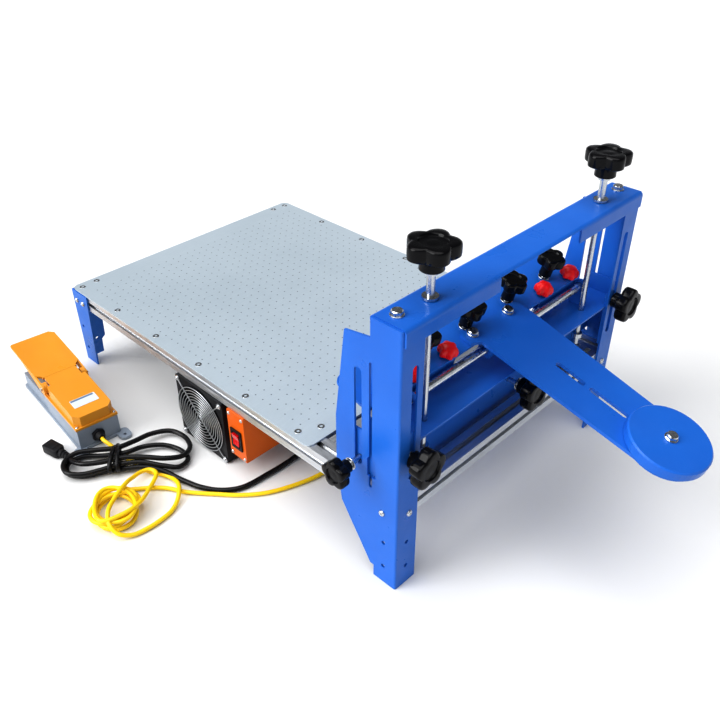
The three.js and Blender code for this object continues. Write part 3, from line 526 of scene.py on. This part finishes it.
def make_plug():
    """Moulded appliance connector with a ribbed sleeve."""
    base = placed(PRESS, -419.3, 442.9, 0) @ Matrix.Rotation(0.2, 4, "Z")
    shape = Shape()
    facing = base @ Matrix.Translation((0, 0, 0.009)) @ Matrix.Rotation(-math.pi / 2, 4, "X")
    shape.revolve([
        (0, 1), (4.6, 1), (5.2, 2), (5.2, 4), (4.6, 5), (4.6, 6), (5.6, 7), (5.6, 9.5), (4.9, 10.5),
        (4.9, 11.5), (6.1, 12.5), (6.1, 15), (5.3, 16), (5.3, 17), (6.8, 18), (6.8, 25), (0, 25),
    ], facing, 20)
    body = [(-8, 24), (8, 24), (10, 29), (10, 56), (-10, 56), (-10, 29)]
    shape.prism(body, 1.2, 17, base, 2.0, 3)
    shape.prism(rounded(-7, 7, 33, 52, 2), 16.4, 17.6, base, 0.4)
    for x in (-4, 0, 4):
        shape.box(x - 0.9, x + 0.9, 55.5, 56.6, 5, 12, base, 0.2)
    plug = shape.make("appliance_connector", "frame", BLACK)
    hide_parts("mains_plug")
    return plug


def knot_turns():
    """Oval turns that climb and swing to and fro, so that each crosses the last."""
    turns, steps = 4.5, 16
    middle_x, middle_y = -431, 295
    half_length, half_width = 37, 27.5
    climb = 4.4  # per turn
    made = []
    for i in range(int(turns * steps) + 1):
        turn = i / steps
        angle = math.radians(50) + TAU * turn
        lean = math.radians(40 + 48 * math.sin(2.2 * turn))
        along, across = half_length * math.cos(angle), half_width * math.sin(angle)
        made.append((middle_x + along * math.cos(lean) - across * math.sin(lean),
                     middle_y + along * math.sin(lean) + across * math.cos(lean),
                     4 + climb * turn))
    return made


def make_pedal_cord():
    """Pedal cord: control box, knotted turns and loops, then the pedal's gland."""
    lead = [
        (-169, 221, 58), (-160, 221, 58), (-128, 205, 47), (-108, 182, 28), (-108, 158, 10),
        (-126, 144, 4), (-150, 139, 3.6), (-174, 140, 3.6), (-214, 151, 3.6), (-252, 168, 3.6),
        (-282, 192, 3.6), (-308, 222, 3.6), (-326, 244, 3.6), (-339, 262, 3.6), (-348, 280, 3.6),
        (-362, 297, 3.6), (-382, 314, 3.7), (-402, 327, 3.9),
    ]
    # Out of the turns: a small loop, back across their middle, and one wide loop on the floor.
    loops = [
        (-425, 265, 23.8), (-404, 270, 22), (-388, 281, 17.5), (-374, 293, 13), (-359, 304, 11),
        (-346, 317, 11),
        (-349, 330, 11), (-363, 335, 11), (-379, 330, 14), (-393, 320, 22), (-410, 308, 27.4),
        (-430, 296, 28), (-447, 283, 27), (-457, 267, 21), (-455, 250, 11), (-440, 239, 5), (-418, 235, 3.8),
        (-396, 235, 3.8), (-374, 239, 3.8), (-357, 248, 6), (-344, 260, 10.4), (-335, 276, 8),
        (-333, 294, 5),
        (-338, 312, 4), (-346, 328, 3.8),
    ]
    tail = [
        (-351, 342, 3.7), (-351, 356, 3.6), (-353, 372, 3.6), (-356, 390, 4), (-359, 404, 8),
        (-362.5, 418, 15), (-365.8, 431, 19.3), (-365.4, 437, 20),
    ]
    route = lead + knot_turns() + loops + tail
    obj, path, length = cord_piece("pedal_cord", route, 3.25, YELLOW_CORD)
    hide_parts("pedal_cord_box_end", "pedal_cord_bundle", "pedal_cord_pedal_end")


make_mains_cord()
make_pedal_cord()


# ---- hardware ----------------------------------------------------------------------------
def five_lobes(angle):
    """Radius of a knob's rim, from 0.77 between its lobes to 1 on them."""
    return 0.77 + 0.23 * (0.5 + 0.5 * math.cos(5 * angle)) ** 0.6


def star_knob(name, node, body, base, radius, hub, head, hub_radius, stud=0.0, spin=0.0):
    """Five-lobed hand knob on +Z of its base, with a dished top, and its stud below."""
    shape = Shape()
    r, top = radius, hub + head
    shape.revolve([
        (0, 0), (hub_radius - 0.8, 0), (hub_radius, 0.8), (hub_radius * 0.98, hub * 0.5),
        (hub_radius * 1.04, hub * 0.9), (hub_radius * 1.12, hub + 0.3, 0.2), (0.80 * r, hub + 0.3, 0.9),
        (0.93 * r, hub + 0.7, 1), (0.985 * r, hub + 2.0, 1), (r, hub + 0.30 * head, 1),
        (r, hub + 0.72 * head, 1), (0.985 * r, hub + 0.88 * head, 1), (0.94 * r, hub + 0.96 * head, 1),
        (0.86 * r, top - 0.1, 1), (0.66 * r, top, 0.6), (0.55 * r, top - 0.1, 0.1),
        (0.51 * r, top - 0.07 * head), (0.49 * r, top - 0.15 * head), (0.45 * r, top - 0.17 * head),
        (0.2 * r, top - 0.13 * head), (0, top - 0.12 * head),
    ], base @ Matrix.Rotation(spin, 4, "Z"), 100, five_lobes)
    knob = shape.make(name, body, KNOB, 40)
    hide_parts(node)
    if stud:
        bar = Shape()
        bar.revolve([(0, -stud), (3.5, -stud), (4, 0.6 - stud), (4, 0.5), (0, 0.5)], base, 20)
        bar.revolve([(0, -5.1), (8.2, -5.1), (8.6, -4.7), (8.6, -3.9), (8.2, -3.5), (0, -3.5)], base, 32)
        bar.make(f"{name}_stud", body, STEEL)


def hex_head(shape, base, flats=13.0, height=5.5, washer=8.5, washer_height=1.4):
    """Chamfered hexagon head with its washer, on +Z of its base."""
    corner = flats / math.sqrt(3)
    shape.revolve([
        (0, 0), (washer - 0.3, 0), (washer, 0.3), (washer, washer_height - 0.2),
        (washer - 0.3, washer_height), (0, washer_height),
    ], base, 28)
    up = base @ Matrix.Translation((0, 0, washer_height / 1000 - 0.0001))
    shape.prism(polygon(6, corner), 0, height * 0.82, up, 0.25, 1)
    shape.revolve([
        (0, height * 0.8), (flats / 2 + 0.35, height * 0.8), (flats / 2 - 0.6, height), (0, height),
    ], up, 30)


def pan_head(shape, base, radius=4.6, height=3.0):
    """Domed screw head with a four-pointed recess cut into its crown."""
    def four(angle):
        return 0.42 + 0.58 * abs(math.cos(2 * angle)) ** 6

    shape.revolve([
        (0, 0), (radius, 0), (radius, height * 0.35), (radius * 0.88, height * 0.72),
        (radius * 0.62, height * 0.97), (radius * 0.58, height, 0.9),
        (radius * 0.52, height * 0.95, 1), (radius * 0.36, height * 0.35, 1), (0, height * 0.3),
    ], base, 48, four)


def countersunk(shape, base, radius=5.2):
    """Flat screw head with a shallow socket, a hair proud of the sheet."""
    shape.revolve([
        (0, -0.6), (radius - 0.3, -0.6), (radius, 0.05), (radius - 0.25, 0.25), (radius * 0.55, 0.3),
        (radius * 0.42, 0.28), (radius * 0.36, -0.35), (0, -0.4),
    ], base, 28)


def make_knobs():
    """Large knobs lift the carriage and lock it from behind; small ones clamp and lock its sides."""
    small = {"radius": 20, "head": 15, "hub_radius": 9}
    for side, x in (("left", -ROD_X), ("right", ROD_X)):
        star_knob(f"{side}_lifting_knob", f"{side}_lift_knob", f"{side}_screw",
                  placed(PRESS, x, ROD_Y, KNOB_BASE), 31.5, 16, 18.5, 14.5, spin=0.4)
    for i, x in enumerate(CLAMP_KNOBS, 1):
        star_knob(f"clamping_knob_{i}", f"clamp_knob_{i}", f"clamp_knob_{i}",
                  placed(HEAD, x, CLAMP_Y, CLAMP_BASE), hub=20, stud=29, spin=0.3 * i, **small)
    for side, out in (("left", -1), ("right", 1)):
        base = placed(PRESS, out * SIDE_LOCK["x"], SIDE_LOCK["y"], SIDE_LOCK["z"], (out, 0, 0))
        star_knob(f"{side}_side_lock", f"{side}_side_knob", f"{side}_side_knob",
                  base, hub=12, stud=26, spin=0.5, **small)
    for side, x, y, z, stud in REAR_LOCKS:
        star_knob(f"{side}_rear_lock", f"{side}_rear_knob", f"{side}_rear_knob",
                  placed(PRESS, x, y, z, (0, -1, 0)), 26.5, 13, 18, 11.5, stud=stud, spin=0.2)


def six_lobes(angle):
    return 0.90 + 0.10 * math.cos(6 * angle)


def make_level_screws():
    """Lobed red caps on threaded rods, with a nut under the plate's channel."""
    for i, x in enumerate(LEVEL_SCREWS, 1):
        body = f"level_screw_{i}"
        base = placed(HEAD, x, LEVEL_Y, LEVEL_BASE)
        cap = Shape()
        cap.revolve([
            (0, 1), (9, 1), (12, 1.6, 1), (13.6, 3, 1), (14, 6.5, 1), (13.7, 9, 1),
            (12.6, 11.6, 0.9), (10.4, 13.9, 0.7), (7.6, 15.6, 0.3), (4, 16.6, 0), (0, 16.9, 0),
        ], base, 80, six_lobes)
        piece = cap.make(f"level_cap_{i}", body, RED_CAP, 60)
        rod = Shape()
        rod.revolve([(0, -44), (2.3, -44), (3, -43.2), (3, 1.2), (0, 1.2)], base, 20)
        rod.prism(polygon(6, 5.8), -27.5, -23.5, base, 0.3, 1)
        rod.make(f"level_rod_{i}", body, THREAD)
        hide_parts(body)


def make_bolts():
    """Hexagon bolts and nuts, the rails' pan heads and the bed's flush screws."""
    beam = Shape()
    for x in (-229, 229):
        hex_head(beam, placed(PRESS, x, -63, GANTRY_TOP, spin=0.3))
    beam.make("beam_bolts", "frame", STEEL, 30)

    head = Shape()
    for x, y in ((-53, 19), (23.5, 19)):
        hex_head(head, placed(HEAD, x, y, ARM_TOP, spin=0.5), 13, 5, 8)
    hex_head(head, placed(HEAD, 0, DISC_Y, DISC_TOP, spin=0.2), 13, 5.5, 8.5)
    head.make("head_bolts", "print_head", STEEL, 30)

    nuts = Shape()
    for side in (-1, 1):
        hex_head(nuts, placed(PRESS, side * 196, SHAFT_Y, SHAFT_Z, (side, 0, 0)), 11, 7, 8)
    nuts.make("shaft_nuts", "carriage", STEEL, 30)

    screws = Shape()
    for side in (-1, 1):
        out = (side, 0, 0)
        for y, z in ((-65, 126), (673, 129), (653, 129)):
            pan_head(screws, placed(PRESS, side * HALF_WIDTH, y, z, out))
        pan_head(screws, placed(PRESS, side * 228, GANTRY_REAR, 128, (0, -1, 0)))
    screws.make("rail_screws", "frame", STEEL, 35)

    flush = Shape()
    for side in (-1, 1):
        for i in range(6):
            countersunk(flush, placed(PRESS, side * 236, 105 + 113 * i, BED_TOP))
        for y in (90, 672):
            countersunk(flush, placed(PRESS, side * 207, y, BED_TOP))
    flush.make("bed_screws", "frame", STEEL, 30)


def make_fan_guard():
    """Ten wire rings on two crossed wires that end in eyes under the corner screws."""
    base = placed(PRESS, -HALF_WIDTH, FAN_Y, FAN_Z, (-1, 0, 0))
    shape = Shape()
    for i in range(10):
        ring = [(x, y, 3.4) for x, y in polygon(56, 7 + 5.4 * i)]
        shape.pipe(ring, 0.8, 8, closed=True, matrix=base)
    reach = FAN_PITCH
    for hand in (1, -1):
        wire = [(-reach, -hand * reach, 1.0), (-reach + 6, -hand * (reach - 6), 1.6),
                (-34, -hand * 34, 1.7), (0, 0, 1.7 if hand > 0 else 1.9), (34, hand * 34, 1.7),
                (reach - 6, hand * (reach - 6), 1.6), (reach, hand * reach, 1.0)]
        shape.pipe(smooth_path(wire, 6), 1.05, 8, matrix=base)
    guard = shape.make("wire_guard", "frame", WIRE, 60)
    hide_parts("fan_guard")
    eyes = Shape()
    for y in (-reach, reach):
        for z in (-reach, reach):
            spot = placed(base, y, z, 0.0)
            eyes.revolve([(0, 0.1), (4.8, 0.1), (5, 0.5), (5, 1.5), (3.6, 1.9), (0, 1.9)],
                         spot, 24)
            pan_head(eyes, spot @ Matrix.Translation((0, 0, 0.0018)), 3.6, 2.2)
    eyes.make("fan_screws", "frame", STEEL, 40)


def make_box_screws():
    """Small pan heads at the corners of the control box's face."""
    shape = Shape()
    for y in (216.5, 245.5):
        for z in (38, 113):
            pan_head(shape, placed(PRESS, -HALF_WIDTH, y, z, (-1, 0, 0)), 3.0, 1.8)
    shape.make("box_screws", "frame", STEEL, 40)


make_knobs()
make_level_screws()
make_bolts()
make_fan_guard()
make_box_screws()


# ---- carried-over CAD nodes --------------------------------------------------------------
FINISHES = {
    "blue_paint": BLUE, "anodised_aluminium": ALUMINIUM, "bed_sheet": BED,
    "galvanised_sheet": GALVANISED, "black_plastic": BLACK, "chrome_wire": WIRE,
    "gloss_black_knob": KNOB, "red_cap": RED_CAP, "plated_steel": STEEL, "orange_paint": ORANGE,
    "red_plastic": ROCKER, "pedal_orange": PEDAL_ORANGE, "pedal_grey": PEDAL_GREY,
    "black_cord": BLACK_CORD, "black_plug": BLACK, "yellow_cord": YELLOW_CORD,
}
CROSSWISE = ("front_cross_rail", "bed_cross_rail", "rear_cross_rail", "clamp_bar")
BEVELS = {  # widths in millimetres
    "blue_paint": 0.5, "orange_paint": 0.6, "pedal_orange": 1.4, "pedal_grey": 1.4,
    "anodised_aluminium": 0.35, "black_plastic": 0.4, "red_plastic": 0.5, "bed_sheet": 0.3,
}


def dress_nodes():
    """Gives each CAD node the material of its slot, smooth curves and worn-looking edges."""
    slots = {row["node"]: row["material_slot"] for row in frame["record"]["subparts"]}
    for node, obj in frame["nodes"].items():
        slot = slots[node]
        material = FINISHES[slot]
        if node in CROSSWISE:
            material = CROSS_ALUMINIUM
        if node.endswith("lift_screw"):
            material = THREAD
        for place in obj.material_slots:
            place.material = material
        smooth_by_angle(obj.data, 35)
        if slot in BEVELS:
            bevel = obj.modifiers.new("edges", "BEVEL")
            bevel.width = BEVELS[slot] / 1000
            bevel.segments = 2
            bevel.limit_method = "ANGLE"
            bevel.angle_limit = math.radians(40)
            bevel.harden_normals = True


dress_nodes()


# ---- pedal details -----------------------------------------------------------------------
def make_pedal_details():
    """Blank label with a plain stripe, and the two rim screws."""
    label = Shape()
    label.prism(rounded(-21, 21, 26, 47, 1.5), 0, 0.4, PEDAL_TOP, 0.1, 1)
    label.make("pedal_label", "frame", LABEL)
    band = Shape()
    band.box(-20, 18, 42, 46, 0.35, 0.5, PEDAL_TOP, 0)
    band.make("pedal_label_band", "frame", LABEL_BAND)
    screws = Shape()
    for x in (-31.5, 31.5):
        pan_head(screws, placed(PEDAL, x, 4.5, 43.9), 2.7, 1.8)
    screws.make("pedal_screws", "frame", STEEL, 40)


make_pedal_details()


# ---- stage -------------------------------------------------------------------------------
def sun(name, azimuth, elevation, power, spread):
    """Broad soft sun shining from a compass azimuth (0 from -Y, 90 from -X) and elevation."""
    data = bpy.data.lights.new(name, "SUN")
    data.energy = power
    data.angle = math.radians(spread)
    turn, lift = math.radians(azimuth), math.radians(elevation)
    way = Vector((math.sin(turn) * math.cos(lift), math.cos(turn) * math.cos(lift), -math.sin(lift)))
    obj = bpy.data.objects.new(name, data)
    obj.rotation_euler = way.to_track_quat("-Z", "Y").to_euler()
    bpy.context.scene.collection.objects.link(obj)


def make_stage():
    """Pale floor, a backdrop that darkens with height, and two broad suns."""
    far, level = 30, -0.0005
    mesh = bpy.data.meshes.new("floor")
    corners = [(-far, -far, level), (far, -far, level), (far, far, level), (-far, far, level)]
    mesh.from_pydata(corners, [], [(0, 1, 2, 3)])
    floor = bpy.data.objects.new("floor", mesh)
    bpy.context.scene.collection.objects.link(floor)
    s = Surface("studio_floor", (0.80, 0.80, 0.80), 0.6, Specular_IOR_Level=0.2)
    s.rough(s.between(s.noise(3, 3), 0.3, 0.7, 0.55, 0.7))
    mesh.materials.append(s.material)
    world = bpy.data.worlds.new("studio")
    world.use_nodes = True
    nodes, links = world.node_tree.nodes, world.node_tree.links
    nodes["Background"].inputs["Color"].default_value = (0.95, 0.97, 1.0, 1.0)
    height = nodes.new("ShaderNodeSeparateXYZ")
    links.new(nodes.new("ShaderNodeTexCoord").outputs["Generated"], height.inputs[0])
    fade = nodes.new("ShaderNodeMapRange")
    for key, value in (("From Min", 0.19), ("From Max", 0.36), ("To Min", 1.0), ("To Max", 0.15)):
        fade.inputs[key].default_value = value
    links.new(height.outputs["Z"], fade.inputs["Value"])
    links.new(fade.outputs["Result"], nodes["Background"].inputs["Strength"])
    bpy.context.scene.world = world
    sun("overhead", 110, 76, 2.9, 70)
    sun("side", 115, 30, 2.5, 40)
    bpy.context.scene.view_settings.view_transform = "Standard"
    bpy.context.scene.view_settings.gamma = 0.8


make_stage()
